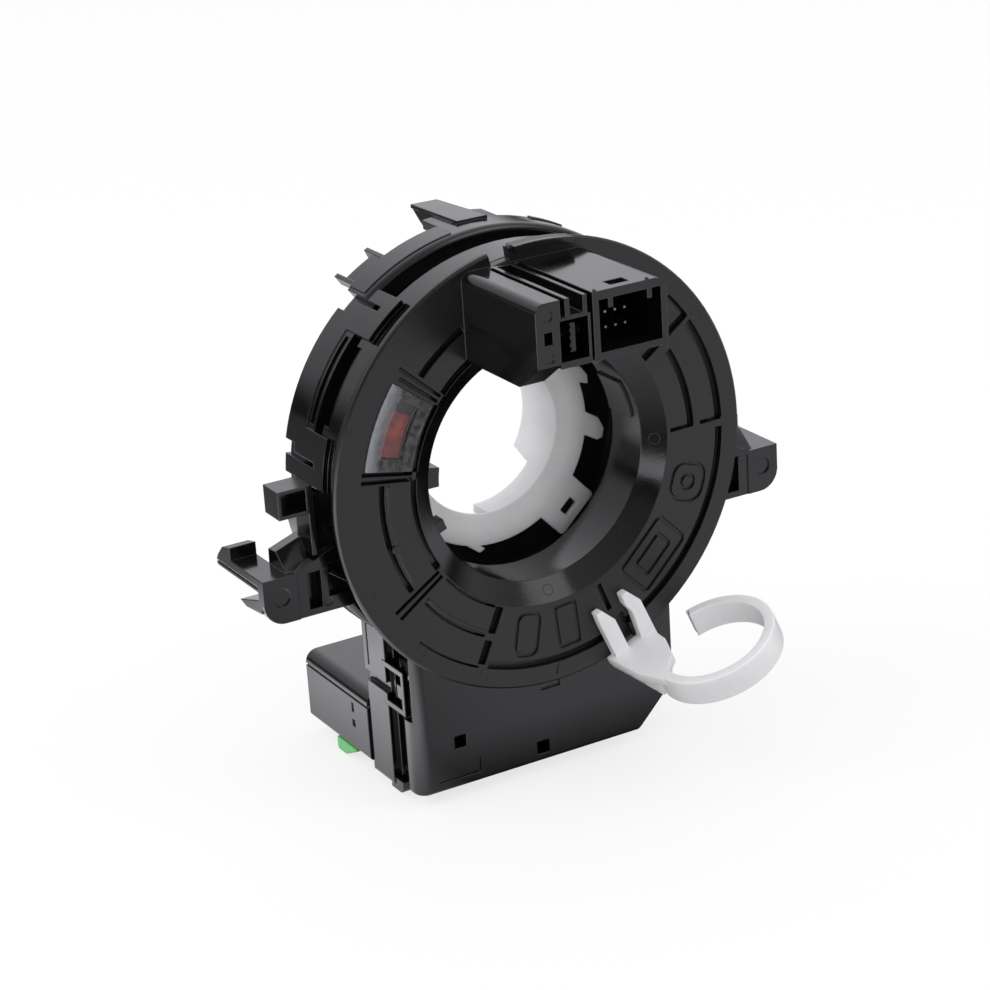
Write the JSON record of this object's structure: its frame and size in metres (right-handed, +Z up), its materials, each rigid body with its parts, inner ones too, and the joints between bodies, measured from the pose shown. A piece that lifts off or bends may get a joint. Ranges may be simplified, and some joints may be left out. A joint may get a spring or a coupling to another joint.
{
  "type": "steering clock spring",
  "caption": "Ribbon contact unit for a steering column: rotor disc with connector sockets, two-part stator drum, angle sensor box, hub ring and lock key",
  "frame": {"origin": "on the steering axis, in the middle of the hub ring's bore", "axes": "+X right as seen by the driver, +Y back along the column away from the driver, +Z up"},
  "size_m": [0.137, 0.092, 0.1291],
  "materials": {
    "rotor_plastic": "satin black acetal moulding",
    "casing_plastic": "semi-gloss black polyester moulding",
    "gear_ring_plastic": "satin black acetal moulding",
    "white_plastic": "natural white moulding, slightly see-through",
    "gear_plastic": "natural white acetal",
    "lens": "milky clear plastic",
    "marker": "red-orange plastic",
    "guide_plastic": "dark grey acetal",
    "ribbon": "polyester film over copper",
    "terminal_plastic": "natural plastic",
    "pin_metal": "tin-plated brass",
    "board": "green solder mask",
    "chip": "moulded epoxy",
    "board_part": "ceramic and metal",
    "magnet": "bonded ferrite",
    "lock": "green plastic"
  },
  "bodies": {
    "stator": {"front_casing": "casing_plastic", "gear_cover": "casing_plastic", "rear_casing": "casing_plastic", "plug_shroud": "casing_plastic", "plug_pins": "pin_metal", "circuit_board": "board", "angle_sensor_chips": "chip", "controller_chip": "chip", "board_parts": "board_part", "outer_terminal": "terminal_plastic"},
    "rotor": {"rotor_housing": "rotor_plastic", "window_lens": "lens", "inner_terminal": "terminal_plastic", "signal_pins": "pin_metal", "airbag_terminals": "pin_metal", "gear_ring": "gear_ring_plastic", "hub_ring": "white_plastic"},
    "guide": {"ribbon_guide": "guide_plastic", "centre_marker": "marker", "ribbon_cable": "ribbon"},
    "gear_a": {"sensor_gear_a": "gear_plastic", "gear_magnet_a": "magnet"},
    "gear_b": {"sensor_gear_b": "gear_plastic", "gear_magnet_b": "magnet"},
    "key": {"lock_key": "white_plastic"},
    "lock": {"plug_lock": "lock"}
  },
  "joints": [
    {"name": "rotor_spin", "type": "hinge", "parent": "stator", "child": "rotor", "pos_m": [0, 0, 0], "axis": [0, 1, 0], "range_deg": [-900, 900]},
    {"name": "guide_turn", "type": "hinge", "parent": "stator", "child": "guide", "pos_m": [0, 0, 0], "axis": [0, 1, 0], "range_deg": [-380, 380]},
    {"name": "gear_a_spin", "type": "hinge", "parent": "stator", "child": "gear_a", "pos_m": [0.01462, -0.0064, -0.04782], "axis": [0, 1, 0], "range_deg": [-2852, 2852]},
    {"name": "gear_b_spin", "type": "hinge", "parent": "stator", "child": "gear_b", "pos_m": [-0.01473, -0.0064, -0.04673], "axis": [0, 1, 0], "range_deg": [-3112, 3112]},
    {"name": "key_pull", "type": "slide", "parent": "rotor", "child": "key", "axis": [0, -1, 0], "range_m": [0, 0.025]},
    {"name": "plug_lock_slide", "type": "slide", "parent": "stator", "child": "lock", "axis": [0, 1, 0], "range_m": [0, 0.005]}
  ],
  "couplings": [
    {"joint": "guide_turn", "follows": "rotor_spin", "ratio": 0.42},
    {"joint": "gear_a_spin", "follows": "rotor_spin", "ratio": -3.1667},
    {"joint": "gear_b_spin", "follows": "rotor_spin", "ratio": -3.4545}
  ]
}
